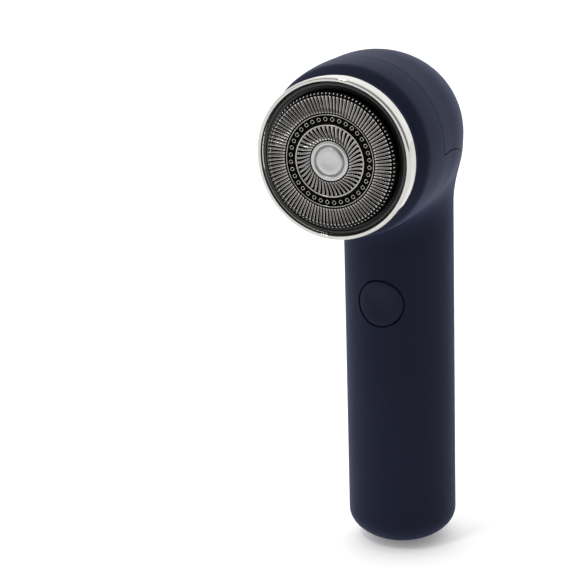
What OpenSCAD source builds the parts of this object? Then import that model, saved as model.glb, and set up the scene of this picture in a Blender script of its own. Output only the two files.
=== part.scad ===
// Electric shaver with one round rotary head: a round handle with a forward-facing head.
// Millimetres, +Z up. The origin is the middle of the flat at the foot of the handle.
// The head's axis lies along Y and the head faces -Y.

/* [Handle] */
// Outer radius of the round handle
handle_r = 15.8; // [15.7:0.1:16.0]
// Height of the rounded foot of the handle
foot_h = 9.4; // [9:0.1:10]
// Height cut off the rounded foot to leave a flat
foot_cut = 0.6; // [0.5:0.1:0.8]
// Wall thickness of both shells
wall = 1.8; // [1.6:0.1:1.9]
// Place of the parting plane of the handle along Y
seam_y = 1.5; // [1.3:0.1:1.8]

/* [Head] */
// Height of the head's axis above the foot
head_z = 125; // [124.5:0.5:127]
// Outer radius of the head's barrel where it is widest
barrel_r = 24.3; // [24.2:0.1:24.5]
// Outer radius of the barrel at its front edge
rim_r = 23.7; // [23.5:0.1:23.8]
// Distance of that front edge in front of the handle's axis
rim_h = 37.5; // [37.4:0.1:37.8]
// Distance of the barrel's mouth in front of the handle's axis
mouth_h = 42.3; // [42.2:0.1:42.4]
// Radius of the bore that takes the shaving head
mouth_r = 20.5; // [20.5:0.1:20.6]
// Depth of the domed back of the head
dome_d = 32; // [31:0.5:32.5]

/* [Shaving head] */
// Outer radius of the chrome ring, which the protective cap pushes on
ring_r = 22.1; // [22:0.1:22.2]
// Outer radius of the slotted foil
foil_r = 18.3; // [18.2:0.1:18.4]
// Distance of the foil's highest ridge in front of the handle's axis
foil_top = 49.2; // [49:0.1:49.4]
// Number of slots in the inner shaving track
inner_slots = 46; // [40:1:50]
// Number of slots in the outer shaving track
outer_slots = 103; // [90:1:110]
// Number of small holes between the two tracks
groove_holes = 36; // [30:1:40]
// How far the foil can be pressed in
foil_travel = 1.2; // [0.8:0.1:1.2]

/* [Button] */
// Height of the power button above the foot
button_z = 76; // [75:0.5:78]
// Radius of the power button
button_r = 7.05; // [6.8:0.05:7.1]
// Gap between the button and its hole, all round
button_gap = 0.12; // [0.1:0.01:0.15]

/* [Power] */
// Radius of the rechargeable cell
cell_r = 7.1; // [6.9:0.1:7.2]
// Length of the rechargeable cell
cell_l = 50; // [48:1:50]
// Radius of the motor's can
motor_r = 10.2; // [10:0.1:10.4]
// Length of the motor's can
motor_l = 24; // [22:1:25]

/* [Hidden] */

navy = [0.16, 0.17, 0.25];
black = [0.09, 0.09, 0.10];
steel = [0.62, 0.62, 0.62];
chrome = [0.86, 0.86, 0.85];
$fn = 96;

foot_steps = 8;
dome_steps = 16;
dome_h = 19;                                // the dome starts this far in front of the handle's axis
barrel_h = 28;                              // the barrel is widest this far in front
foot_a = acos((foot_h - foot_cut)/foot_h);  // where the flat cuts the rounded foot, as an angle
column_top = 116;                           // the handle's own round top starts here
top_r = 12;                                 // height of that round top, which ends inside the dome
jog_h = -1.5;                               // the parting line turns back this far from the head's axis
jog_r = 23.5;                               // radius of the parting line's bend
head_seam = -27.5;                          // parting plane of the head along Y

ledge_back = 32;                            // ledge in the barrel that the motor mount bears on
ledge_front = 34;
ledge_r = 18.6;

usb_y = -1.0;                               // middle of the charging socket along Y
usb_w = 8.94;
usb_t = 3.26;
usb_l = 7.4;
board_t = 1.2;
board_back = usb_y - usb_t/2;               // the socket is soldered to the board's back face
board_front = board_back - board_t;
board_top = 88;
board_bottom = 2.6;
board_w = 18;
board_screw_z = [66, 85];
plunger_len = 0.7;
switch_t = 2.0;
frame_x = 9.5;
cell_y = 6.3;
cell_z = 12.5;
motor_front = ledge_back - 3.02;            // front face of the motor's can, on the mount's plate
motor_back = motor_front - motor_l;
shaft_r = 1.0;
screw_ring = 16.2;                          // pitch radius of the screws in the head's base
foil_t = 0.45;                              // foil and its skirt
foil_low = 43.4;                            // lower edge of the foil's skirt
lip_low = 44.4;                             // back of the lip that holds the foil's flange
shaft_end = 39.2;
run_gap = 0.08;                             // clearance between pieces that slide or turn
seat = 0.02;                                // clearance between pieces that rest on each other
base_screw_angles = [30, 150, 270];
motor_screw_x = 7;                          // the motor's two screws lie this far from its axis
magnet_t = 1.75;
can_wall = 0.8;
bush_r = 2.2;

// Puts a shape drawn along +Z onto the head's axis, with +Z facing forward
module on_head() { translate([0, 0, head_z]) rotate([90, 0, 0]) children(); }

// Tube between two radii and two heights
module tube(r_out, r_in, z0, z1) {
    translate([0, 0, z0]) difference() {
        cylinder(r = r_out, h = z1 - z0);
        translate([0, 0, -1]) cylinder(r = r_in, h = z1 - z0 + 2);
    }
}

// Solid disc between two heights
module disc(r, z0, z1) { translate([0, 0, z0]) cylinder(r = r, h = z1 - z0); }

// Slot outline with round ends, long side along X
module slot_outline(w, t) {
    polygon([
        for (a = [-90:15:90]) [(w - t)/2 + t/2*cos(a), t/2*sin(a)],
        for (a = [90:15:270]) [-(w - t)/2 + t/2*cos(a), t/2*sin(a)]
    ]);
}

// ---- Casing ----

// Round handle with an elliptical foot, shrunk by inset
module column(inset) {
    r = handle_r - inset;
    e = foot_h - inset;
    low = inset > 0 ? inset : 0;
    rotate_extrude() polygon([
        [0, low],
        for (i = [0:foot_steps])
            let (a = foot_a + (90 - foot_a)*i/foot_steps)
            [r*sin(a), max(low, foot_h - foot_cut - e*cos(a))],
        [r, column_top],
        for (i = [1:6]) let (a = 15*i) [r*cos(a), column_top + (top_r - inset)*sin(a)]
    ]);
}

// Barrel and domed back of the head, shrunk by inset, up to the given front
module barrel(inset, front) {
    on_head() rotate_extrude() polygon([
        for (i = [0:dome_steps])
            let (a = 90 - 90*i/dome_steps)
            [(barrel_r - 0.2 - inset)*cos(a), dome_h - (dome_d - inset)*sin(a)],
        [barrel_r - inset, barrel_h],
        if (front > rim_h) [rim_r - inset, rim_h],
        if (front > rim_h) [rim_r - 0.9 - inset, rim_h + 2.2],
        if (front > rim_h) [ring_r + 0.2 - inset, front],
        if (front <= rim_h) [rim_r + 0.3 - inset, front],
        [0, front]
    ]);
}

// Throat that blends the handle into the underside and the sides of the barrel
module throat(inset) {
    sections = [[0, 86, 15.2], [-1.9, 95, 15.9], [-7.2, 101, 17], [-9.5, 111, 18.6]];
    for (i = [0:2]) hull() for (c = [sections[i], sections[i + 1]])
        translate([0, c[0], c[1] + 0.4*inset]) cylinder(r = c[2] - inset, h = 0.5, $fn = 32);
}

module body_solid(inset, front) {
    union() {
        barrel(inset, front);
        column(inset);
        throat(inset);
    }
}

// Everything that belongs to the front shell's side of the parting line
module front_side() {
    jog_z = head_z + jog_h;
    translate([-40, 0, 0]) rotate([90, 0, 90]) linear_extrude(height = 80) polygon([
        [-70, -5], [seam_y, -5], [seam_y, jog_z - jog_r],
        for (a = [10:10:80]) [seam_y - jog_r + jog_r*cos(a), jog_z - jog_r + jog_r*sin(a)],
        [seam_y - jog_r, jog_z], [head_seam, jog_z],
        [head_seam, head_z + 40], [-70, head_z + 40]
    ]);
}

module usb_cut() {
    translate([0, usb_y, -2]) linear_extrude(height = 14) slot_outline(usb_w + 0.3, usb_t + 0.3);
}

module front_shell() {
    color(navy) difference() {
        intersection() {
            body_solid(0, mouth_h);
            front_side();
        }
        body_solid(wall, ledge_back);
        on_head() disc(mouth_r, ledge_front, mouth_h + 5);
        on_head() disc(ledge_r, ledge_back - 3, mouth_h);
        translate([0, -8, button_z]) rotate([90, 0, 0]) cylinder(r = button_r + button_gap, h = 14);
        usb_cut();
    }
}

module back_shell() {
    color(navy) difference() {
        body_solid(0, mouth_h);
        front_side();
        body_solid(wall, ledge_back);
    }
}

// ---- Button and switch ----

flange_y = -10.9;
stem_end = board_front - switch_t - plunger_len;

module power_button() {
    color(navy) translate([0, 0, button_z]) union() {
        intersection() {
            translate([0, flange_y, 0]) rotate([90, 0, 0]) cylinder(r = button_r, h = 10);
            translate([0, 0, -10]) cylinder(r = handle_r - 0.05, h = 20);
        }
        translate([0, flange_y + 1, 0]) rotate([90, 0, 0]) cylinder(r = button_r + 1.1, h = 1.2);
        translate([0, stem_end, 0]) rotate([90, 0, 0]) cylinder(r = 1.6, h = stem_end - flange_y);
    }
}

module switch_plunger() {
    color("dimgray") translate([0, board_front - switch_t + 0.9, button_z])
        rotate([90, 0, 0]) cylinder(r = 1.2, h = plunger_len + 0.9);
}

module switch_body() {
    color(black) difference() {
        translate([-3, board_front - switch_t, button_z - 3]) cube([6, switch_t, 6]);
        translate([0, board_front - 0.4, button_z]) rotate([90, 0, 0]) cylinder(r = 1.2 + run_gap, h = 4);
    }
}

// ---- Board, socket and battery ----

module circuit_board() {
    color("darkgreen") difference() {
        translate([-board_w/2, board_front, 10]) cube([board_w, board_t, board_top - 10]);
        for (z = board_screw_z) translate([0, board_front, z])
            rotate([90, 0, 0]) cylinder(r = 1.1, h = 12, center = true);
    }
    color("darkgreen") translate([-5.5, board_front, board_bottom]) cube([11, board_t, 7.4]);
}

// Pan-head screw with its head towards +Z, its shank below
module screw(head_r, head_h, shank_r, len) {
    difference() {
        union() {
            cylinder(r = head_r, h = head_h);
            translate([0, 0, -len]) cylinder(r = shank_r, h = len + head_h/2);
        }
        translate([-head_r*0.6, -0.2, head_h*0.5]) cube([head_r*1.2, 0.4, head_h]);
        translate([-0.2, -head_r*0.6, head_h*0.5]) cube([0.4, head_r*1.2, head_h]);
    }
}

module board_screws() {
    color(steel) for (z = board_screw_z)
        translate([0, board_front - seat, z]) rotate([90, 0, 0]) screw(1.9, 1.1, 0.95, 4);
}

// Cross bar of the inner frame, from the board back to y1
module frame_bar(z, h, y1) {
    translate([-frame_x, board_back + seat, z]) cube([2*frame_x, y1 - board_back - seat, h]);
}

module inner_frame() {
    rail_y = board_back + seat;
    color("gainsboro") difference() {
        union() {
            for (s = [-1, 1])
                translate([s*(frame_x - 0.9) - 0.9, rail_y, 10.2]) cube([1.8, 8.4, 80]);
            frame_bar(63.6, 4.8, 5);
            frame_bar(82.6, 4.8, 5);
        }
        for (z = board_screw_z) translate([0, board_front - 2, z])
            rotate([-90, 0, 0]) cylinder(r = 1.02, h = 7.2);
    }
}

module usb_socket() {
    color(steel) translate([0, usb_y, 0.5]) difference() {
        linear_extrude(height = usb_l) slot_outline(usb_w, usb_t);
        translate([0, 0, -1]) linear_extrude(height = usb_l - 0.4) slot_outline(usb_w - 0.6, usb_t - 0.6);
    }
}

module usb_tongue() {
    color(black) translate([-3.35, usb_y - 0.35, 1.3]) cube([6.7, 0.7, usb_l - 2.2]);
}

module battery_cell() {
    color("seagreen") translate([0, cell_y, cell_z]) union() {
        cylinder(r = cell_r, h = cell_l - 0.8);
        cylinder(r = 2.6, h = cell_l);
    }
}

module battery_tabs() {
    tab_y = board_back;
    color(steel) {
        for (z = [cell_z - 0.25, cell_z + cell_l])
            translate([-2, tab_y + 0.25, z]) cube([4, cell_y - tab_y + 1, 0.25]);
        for (z = [cell_z - 0.25, cell_z + cell_l - 4])
            translate([-2, tab_y, z]) cube([4, 0.25, 4.25]);
    }
}

// ---- Motor, drawn along the head's axis ----

module motor_can() {
    color(steel) on_head() difference() {
        disc(motor_r, motor_back, motor_front);
        disc(motor_r - can_wall, motor_back - 1, motor_front - can_wall);
        disc(bush_r, motor_front - 2, motor_front + 1);
        for (a = [0, 180])
            rotate(a) translate([motor_screw_x, 0, motor_front - 2]) cylinder(r = 0.85, h = 4);
    }
}

module motor_end_cap() {
    color("ivory") on_head() difference() {
        union() {
            disc(motor_r - can_wall - 0.05, motor_back + seat, motor_back + 2);
            disc(motor_r, motor_back - 1.6, motor_back - seat);
            disc(motor_r - can_wall - 0.05, motor_back - 0.5, motor_back + 0.5);
        }
        disc(bush_r, motor_back - 2, motor_back + 3);
        for (a = [0, 180]) rotate(a) translate([6.5, -1, motor_back - 2]) cube([0.5, 2, 6]);
    }
}

module motor_magnets() {
    magnet_r = motor_r - can_wall - 0.05;
    color("dimgray") on_head() intersection() {
        tube(magnet_r, magnet_r - magnet_t, motor_back + 4, motor_front - 3.2);
        translate([-motor_r, -5.4, motor_back]) cube([2*motor_r, 10.8, motor_l]);
    }
}

module motor_bushes() {
    color("goldenrod") on_head() {
        tube(bush_r - seat, shaft_r + 0.05, motor_front - 1.6, motor_front + 1.4);
        tube(bush_r - seat, shaft_r + 0.05, motor_back - 1.4, motor_back + 1.8);
    }
}

module motor_shaft() {
    color(chrome) on_head() disc(shaft_r, motor_back - 1.2, shaft_end);
}

module motor_armature() {
    color("peru") on_head() difference() {
        union() {
            disc(7.2, motor_back + 5, motor_front - 4.2);
            disc(2.6, motor_back + 2.4, motor_back + 5.1);
        }
        disc(shaft_r, motor_back, motor_front);
        for (a = [0:120:240])
            rotate(a) translate([5.4, -0.6, motor_back + 4.5]) cube([3, 1.2, motor_l]);
    }
}

module motor_mount() {
    post_r = 2.4;
    color("gainsboro") on_head() difference() {
        union() {
            disc(22.0, ledge_back - 3, ledge_back - 0.05);
            tube(motor_r + 1.6, motor_r + 0.1, motor_front - 8, ledge_back - 2.5);
            for (a = base_screw_angles)
                rotate(a) translate([screw_ring, 0, ledge_back - 8]) cylinder(r = post_r, h = 6);
        }
        disc(motor_r + 0.1, motor_front - 9, motor_front + 0.05);
        disc(3.4, motor_front - 1, ledge_back + 1);
        for (a = [0, 180])
            rotate(a) translate([motor_screw_x, 0, motor_front]) cylinder(r = 0.95, h = 8);
        for (a = [0, 180])
            rotate(a) translate([motor_screw_x, 0, ledge_back - 1.4]) cylinder(r = 1.8, h = 3);
        for (a = base_screw_angles)
            rotate(a) translate([screw_ring, 0, ledge_back - 9]) cylinder(r = 1.0, h = 12);
    }
}

module motor_screws() {
    color(steel) on_head() for (a = [0, 180])
        rotate(a) translate([motor_screw_x, 0, ledge_back - 1.4 + seat]) screw(1.6, 0.9, 0.8, 4);
}

// Round wire swept along a list of points
wire_sides = 8;
lead_r = 0.6;
function unit(v) = v/norm(v);
function ring_at(path, i, r) =
    let (n = len(path) - 1,
         t = unit(path[min(i + 1, n)] - path[max(i - 1, 0)]),
         u = unit(cross(t, [1, 0.2, 0.1])),
         v = cross(t, u))
    [for (k = [0:wire_sides - 1]) let (a = 360*k/wire_sides) path[i] + r*(cos(a)*u + sin(a)*v)];

module wire(path, r) {
    n = len(path);
    s = wire_sides;
    polyhedron(
        points = [for (i = [0:n - 1]) each ring_at(path, i, r)],
        faces = concat(
            [[for (k = [0:s - 1]) k]],
            [[for (k = [s - 1:-1:0]) (n - 1)*s + k]],
            [for (i = [0:n - 2]) for (k = [0:s - 1])
                [i*s + k, (i + 1)*s + k, (i + 1)*s + (k + 1)%s, i*s + (k + 1)%s]]
        )
    );
}

// Routes of the two motor leads, from the back of the motor to the top of the board
terminal_y = -(motor_back - 1.6);
lead_left = [[-7, terminal_y, head_z], [-7, terminal_y + 2, head_z], [-7, 0.5, 124.5], [-6.8, 1.8, 122],
             [-6.5, 2.2, 118], [-6, 2, 112], [-5.5, 1.2, 106], [-5, 0, 100], [-4.5, -1.4, 95],
             [-4, -2.6, 91.5], [-4, -3.1, 89.6], [-4, -3.23, board_top]];
lead_right = [for (p = lead_left) [-p[0], p[1], p[2]]];

module motor_leads() {
    color("firebrick") wire(lead_left, lead_r);
    color("black") wire(lead_right, lead_r);
}

// ---- Base of the head and drive ----

base_t = 1.8;                               // thickness of the head's base

module head_base() {
    color(black) on_head() difference() {
        union() {
            disc(mouth_r - 0.1, ledge_front + seat, ledge_front + base_t);
            disc(5.4, ledge_front - 1, ledge_front + base_t + 0.2);
        }
        disc(3.2, ledge_front - 2, ledge_front + 3);
        for (a = base_screw_angles)
            rotate(a) translate([screw_ring, 0, ledge_front - 1]) cylinder(r = 1.2, h = 4);
    }
}

module base_screws() {
    color(steel) on_head() for (a = base_screw_angles)
        rotate(a) translate([screw_ring, 0, ledge_front + base_t + seat]) screw(2.0, 1.2, 0.95, 8);
}

module shaft_seal() {
    color("dimgray") on_head() tube(3.2 - seat, shaft_r + 0.06, ledge_front - 0.6, ledge_front + base_t);
}

hub_r = 2.4;
hub_low = 36.2;
hub_top = 40.0;
flange_t = 0.7;
cup_r = 3.6;
cup_low = 38.9;
cup_shoulder = 42.0;
cup_top = 43.6;
drive_half = 1.9;                           // half width across the driving flats

// Round stub with two driving flats
module flatted(r, half, z0, z1) {
    intersection() {
        disc(r, z0, z1);
        translate([-half, -r - 1, z0 - 1]) cube([2*half, 2*r + 2, z1 - z0 + 2]);
    }
}

module drive_hub() {
    color("whitesmoke") on_head() difference() {
        union() {
            disc(3.5, hub_low, hub_low + flange_t);
            flatted(hub_r, drive_half, hub_low + 0.1, hub_top);
        }
        disc(shaft_r, hub_low - 1, shaft_end);
    }
}

// Compression spring as a helix between the hub's flange and the cup
coil_turns = 3;
coil_steps = 14;
coil_wire = 0.12;
coil_r = 2.95;

module drive_spring() {
    low = hub_low + flange_t + coil_wire + seat;
    rise = cup_low - low - coil_wire - seat;
    n = coil_turns*coil_steps;
    color(chrome) on_head() wire([
        for (i = [0:n]) let (a = 360*i/coil_steps)
            [coil_r*cos(a), coil_r*sin(a), low + rise*i/n]
    ], coil_wire);
}

module drive_cup() {
    color("whitesmoke") on_head() difference() {
        union() {
            disc(cup_r, cup_low, cup_shoulder);
            flatted(2.9, drive_half, cup_shoulder - 0.1, cup_top);
        }
        flatted(hub_r + run_gap, drive_half + run_gap, cup_low - 1, hub_top + foil_travel + 0.1);
    }
}

// ---- Shaving head ----

module chrome_ring() {
    back = mouth_h + 0.3;
    color(chrome) on_head() rotate_extrude() polygon([
        [20.55, back], [ring_r - 0.3, back], [ring_r, back + 0.3], [ring_r, back + 3.1],
        for (a = [15:15:75]) [ring_r - 0.8 + 0.8*cos(a), back + 3.1 + 1.3*sin(a)],
        [ring_r - 0.9, back + 4.4], [20.7, back + 4.1], [20.55, back + 3.8]
    ]);
}

module foil_holder() {
    color(black) on_head() difference() {
        rotate_extrude() polygon([
            [18.9, 36.2], [20.0, 36.2], [20.35, 36.6], [20.35, 37.6], [19.75, 37.6], [19.75, 38.9],
            [20.35, 38.9], [20.35, 42.55], [20.53, 42.55], [20.53, 46.4], [20.2, 46.7],
            [18.9, 46.3], [foil_r + run_gap, 46.0], [foil_r + run_gap, lip_low], [18.9, lip_low]
        ]);
        for (a = [0:120:240])
            rotate(a + 90) translate([18, -1.6, 39.2]) cube([1.6, 3.2, 1.6]);
    }
}

module head_seal() {
    color("dimgray") on_head() tube(20.43, 19.78, 37.7, 38.8);
}

module cutter_retainer() {
    color("darkgray") on_head() difference() {
        union() {
            tube(18.85, 17.2, 39.3, 40.6);
            tube(7, 5.4, 39.3, 40.6);
            for (a = [0:120:240]) {
                rotate(a + 90) translate([6.6, -1.5, 39.3]) cube([12.7, 3, 1.3]);
            }
        }
        disc(5.4, 39, 41);
    }
}

track = foil_top - 0.2;                     // outer surface of both shaving tracks
inner_a = 5.9;                              // inner track, inner and outer radius
inner_b = 9.1;
outer_a = 13.1;                             // outer track, inner and outer radius
outer_b = 17.4;
groove_r = 11.35;                           // pitch radius of the small holes

// Outline of one slot, slanted so that its outer end lags by the given angle
module slant_slot(r0, r1, w, lag) {
    steps = 3;
    half = [for (i = [0:steps]) let (t = i/steps) [r0 + (r1 - r0)*t, lag*t*t]];
    polygon(concat(
        [for (p = half) [p[0]*cos(p[1]) + w/2*sin(p[1]), p[0]*sin(p[1]) - w/2*cos(p[1])]],
        [for (i = [steps:-1:0]) let (p = half[i])
            [p[0]*cos(p[1]) - w/2*sin(p[1]), p[0]*sin(p[1]) + w/2*cos(p[1])]]
    ));
}

module foil_plate() {
    rotate_extrude() polygon([
        [1.5, track - 0.35], [5.6, track - 0.35], [5.9, track], [9.1, track], [9.3, foil_top],
        [10.3, foil_top], [10.6, track - 0.5], [12.0, track - 0.5], [12.3, foil_top - 0.1],
        [12.8, foil_top - 0.1], [13.0, track],
        [17.4, track - 0.1], [17.95, track - 0.5], [foil_r, track - 1.2],
        [foil_r, lip_low - run_gap], [foil_r + 0.45, lip_low - run_gap], [foil_r + 0.45, foil_low],
        [foil_r - foil_t, foil_low], [foil_r - foil_t, track - 1.35],
        [17.6, track - 0.85], [17.2, track - 0.55], [13.2, track - foil_t],
        [12.95, track - foil_t], [12.85, track - 0.9], [9.85, track - 0.9], [9.6, track - foil_t],
        [5.8, track - foil_t], [5.5, track - 0.8], [1.5, track - 0.8]
    ]);
}

module foil() {
    cut_low = track - 1.1;
    color(steel) on_head() difference() {
        foil_plate();
        for (k = [0:inner_slots - 1])
            rotate(360*k/inner_slots) translate([0, 0, cut_low])
                linear_extrude(height = 3) slant_slot(inner_a + 0.15, inner_b - 0.15, 0.45, 12);
        for (k = [0:outer_slots - 1])
            rotate(360*k/outer_slots) translate([0, 0, cut_low])
                linear_extrude(height = 3) slant_slot(outer_a + 0.1, outer_b, 0.5, 3);
        for (k = [0:groove_holes - 1])
            rotate(360*k/groove_holes) translate([groove_r, 0, cut_low - 1])
                cylinder(r = 0.4, h = 3, $fn = 16);
    }
}

module foil_center_cap() {
    low = track - 0.34;
    color("silver") on_head() rotate_extrude() polygon([
        [0, low - 0.8], [1.45, low - 0.8], [1.45, low], [5.2, low], [5.2, low + 0.5], [4.9, low + 0.75],
        [3.6, low + 0.8], [3.45, low + 0.62], [3.0, low + 0.62], [2.85, low + 0.8], [0, low + 0.85]
    ]);
}

plate_low = 45.2;
blade_low = plate_low + 0.3;
blade_top = track - foil_t - run_gap;
blade_t = 0.4;
blade_lean = 12;

// One upright blade that leans forward and runs from radius r0 outwards
module blade(r0, len) {
    h = (blade_top - blade_low - blade_t*sin(blade_lean))/cos(blade_lean);
    translate([r0, -blade_t/2, blade_low]) rotate([blade_lean, 0, 0]) cube([len, blade_t, h]);
}

module cutter_blades() {
    color(chrome) on_head() difference() {
        union() {
            tube(17.0, 4.9, plate_low, plate_low + 0.7);
            for (k = [0:14]) rotate(24*k) blade(13.5, 3.4);
            for (k = [0:8]) rotate(40*k) blade(6.0, 3.0);
        }
        for (a = [0:60:300])
            rotate(a + 30) translate([11.3, 0, plate_low - 1]) cylinder(r = 1.1, h = 3);
    }
}

module cutter_carrier() {
    color("white") on_head() difference() {
        union() {
            disc(4.8, 41.2, 46.3);
            tube(9.5, 4.5, 44.3, plate_low - seat);
        }
        flatted(2.9 + run_gap, drive_half + run_gap, 41, cup_top + 0.05);
        disc(cup_r + 0.25, 40, cup_shoulder + 0.05);
    }
}

front_shell();
back_shell();
power_button();
switch_plunger();
switch_body();
circuit_board();
board_screws();
inner_frame();
usb_socket();
usb_tongue();
battery_cell();
battery_tabs();
motor_can();
motor_end_cap();
motor_magnets();
motor_bushes();
motor_shaft();
motor_armature();
motor_mount();
motor_screws();
motor_leads();
head_base();
base_screws();
shaft_seal();
drive_hub();
drive_spring();
drive_cup();
chrome_ring();
foil_holder();
head_seal();
cutter_retainer();
foil();
foil_center_cap();
cutter_blades();
cutter_carrier();
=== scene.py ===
# Electric shaver with one round rotary head. The casing, button, ring, holder, foil, disc and drive spring
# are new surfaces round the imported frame; every other part keeps its CAD shape and gets a finish.
# Lengths are in millimetres here and turn to metres as each mesh is made.
import math

import bpy
import numpy as np
from mathutils import Matrix, Vector


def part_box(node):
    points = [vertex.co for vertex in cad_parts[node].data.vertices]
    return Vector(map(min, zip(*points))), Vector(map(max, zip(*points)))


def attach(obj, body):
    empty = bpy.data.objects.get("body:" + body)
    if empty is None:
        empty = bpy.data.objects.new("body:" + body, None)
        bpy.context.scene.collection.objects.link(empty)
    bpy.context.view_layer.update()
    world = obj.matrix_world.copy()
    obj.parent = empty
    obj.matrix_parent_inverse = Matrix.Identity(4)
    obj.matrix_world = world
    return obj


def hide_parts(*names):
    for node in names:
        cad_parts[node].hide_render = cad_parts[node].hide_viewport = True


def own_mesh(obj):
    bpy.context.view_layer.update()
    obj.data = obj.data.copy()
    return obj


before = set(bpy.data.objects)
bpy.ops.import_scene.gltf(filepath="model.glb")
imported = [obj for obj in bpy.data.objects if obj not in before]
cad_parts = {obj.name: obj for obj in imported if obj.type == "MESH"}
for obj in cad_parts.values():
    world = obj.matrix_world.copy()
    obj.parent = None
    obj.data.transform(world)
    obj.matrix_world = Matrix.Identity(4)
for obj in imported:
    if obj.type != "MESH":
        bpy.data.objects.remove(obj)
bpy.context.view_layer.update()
mm = 0.001
fullTurn = 2*math.pi
onAxis = 0.0001          # radius of a point that closes a turned surface on its axis


def nodeBox(node):
    # lowest and highest corner of a CAD node, in millimetres
    low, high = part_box(node)
    return np.array(low)/mm, np.array(high)/mm


ringBox = nodeBox("chrome_ring")
backBox = nodeBox("back_shell")
frontBox = nodeBox("front_shell")
buttonBox = nodeBox("power_button")
foilBox = nodeBox("foil")
socketBox = nodeBox("usb_socket")
axisZ = (ringBox[0][2] + ringBox[1][2])/2      # height of the head's axis
handleR = backBox[1][1]                        # radius of the round handle
barrelR = backBox[1][0]                        # radius of the barrel at its widest
seamY = frontBox[1][1]                         # parting plane of the handle
headSeamY = backBox[0][1]                      # parting plane of the head
mouthY = frontBox[0][1]                        # front face of the barrel
foilTop = -foilBox[0][1]                       # how far forward the foil's ridges reach
foilTrack = foilTop - 0.2                      # the tracks' bars lie this far below the ridges
print("frame loaded, head axis at", round(float(axisZ), 2), "mm")

# ---- camera ----

shot = {
    "azimuth": 24.57,          # degrees to the right of the head's axis
    "elevation": 16.55,        # degrees above level
    "distance": 625.6,
    "roll": -1.65,
    "lens": 133.96,            # on a sensor 36 mm wide
    "aimRight": -31.78,        # the point aimed at, sideways and above the foot
    "aimUp": 76.66,
}


def placeCamera(view):
    # back points from the aim to the camera; right and up are its image axes, turned by the roll
    a, e, roll = (math.radians(view[k]) for k in ("azimuth", "elevation", "roll"))
    back = Vector((math.sin(a)*math.cos(e), -math.cos(a)*math.cos(e), math.sin(e)))
    right = Vector((math.cos(a), math.sin(a), 0))
    up = back.cross(right)
    turnedRight = math.cos(roll)*right + math.sin(roll)*up
    turnedUp = math.cos(roll)*up - math.sin(roll)*right
    aim = view["aimRight"]*right + Vector((0, 0, view["aimUp"]))
    place = (aim + view["distance"]*back)*mm
    data = bpy.data.cameras.new("camera")
    data.lens = view["lens"]
    data.sensor_width = 36
    data.clip_start = 0.01
    camera = bpy.data.objects.new("camera", data)
    bpy.context.scene.collection.objects.link(camera)
    camera.matrix_world = Matrix((
        (turnedRight.x, turnedUp.x, back.x, place.x),
        (turnedRight.y, turnedUp.y, back.y, place.y),
        (turnedRight.z, turnedUp.z, back.z, place.z),
        (0, 0, 0, 1)))
    bpy.context.scene.camera = camera


placeCamera(shot)

# ---- mesh making ----


def gridFaces(rows, cols, wrap=False):
    # quads between neighbouring rows and columns; wrap joins the last column to the first
    i, j = np.meshgrid(np.arange(rows - 1), np.arange(cols if wrap else cols - 1), indexing="ij")
    k = (j + 1) % cols
    return np.stack([i*cols + j, i*cols + k, (i + 1)*cols + k, (i + 1)*cols + j], -1).reshape(-1, 4)


def weld(points, faces):
    # points in one cell of half a micrometre become one; a quad that loses a corner by it becomes a triangle,
    # ending in -1. The shift keeps evenly placed points away from where rounding turns over.
    perMm, shift = 2000, 0.137
    keys = np.round(points*perMm + shift).astype(np.int64)
    _, first, number = np.unique(keys, axis=0, return_index=True, return_inverse=True)
    faces = np.where(faces < 0, -1, number.ravel()[faces])
    gone = (faces == np.roll(faces, -1, 1)) | (faces < 0)
    order = np.argsort(gone, axis=1, kind="stable")
    faces = np.take_along_axis(np.where(gone, -1, faces), order, 1)
    return points[first], faces[faces[:, 2] >= 0]


def outward(points, faces):
    # a closed surface whose signed volume, the sum of a.(b x c)/6, is below 0 has its faces turned
    last = np.where(faces[:, 3] < 0, faces[:, 2], faces[:, 3])
    a, b, c, d = points[faces[:, 0]], points[faces[:, 1]], points[faces[:, 2]], points[last]
    volume = np.sum(a*np.cross(b, c)) + np.sum(a*np.cross(c, d))
    if volume >= 0:
        return faces
    flipped = faces[:, ::-1].copy()
    triangle = faces[:, 3] < 0
    flipped[triangle] = np.roll(flipped[triangle], -1, 1)
    return flipped


def joined(parts):
    # several (points, faces) become one, the later faces counting on from the earlier points
    points, faces, count = [], [], 0
    for partPoints, partFaces in parts:
        points.append(partPoints)
        faces.append(np.where(partFaces < 0, -1, partFaces + count))
        count += len(partPoints)
    return np.concatenate(points), np.concatenate(faces)


def repeated(points, one, count):
    # count copies of the faces of one part, each counting on over its own share of the points
    steps = len(points)//count*np.arange(count)
    return (one[None] + steps[:, None, None]).reshape(-1, 4)


def closed(outer, inner, faces, innerFaces=None):
    # outer skin, inner skin turned round, and a wall between them along every open edge of the outer skin
    edges = np.concatenate([faces[:, [k, (k + 1) % 4]] for k in range(4)])
    edges = edges[(edges >= 0).all(1) & (edges[:, 0] != edges[:, 1])]
    _, number, count = np.unique(np.sort(edges, 1), axis=0, return_inverse=True, return_counts=True)
    rim = edges[count[number.ravel()] == 1]
    if innerFaces is None:
        innerFaces = faces
    n = len(outer)
    walls = np.stack([rim[:, 1], rim[:, 0], rim[:, 0] + n, rim[:, 1] + n], 1)
    allFaces = np.concatenate([faces, innerFaces[:, ::-1] + n, walls])
    return weld(np.concatenate([outer, inner]), allFaces)


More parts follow.
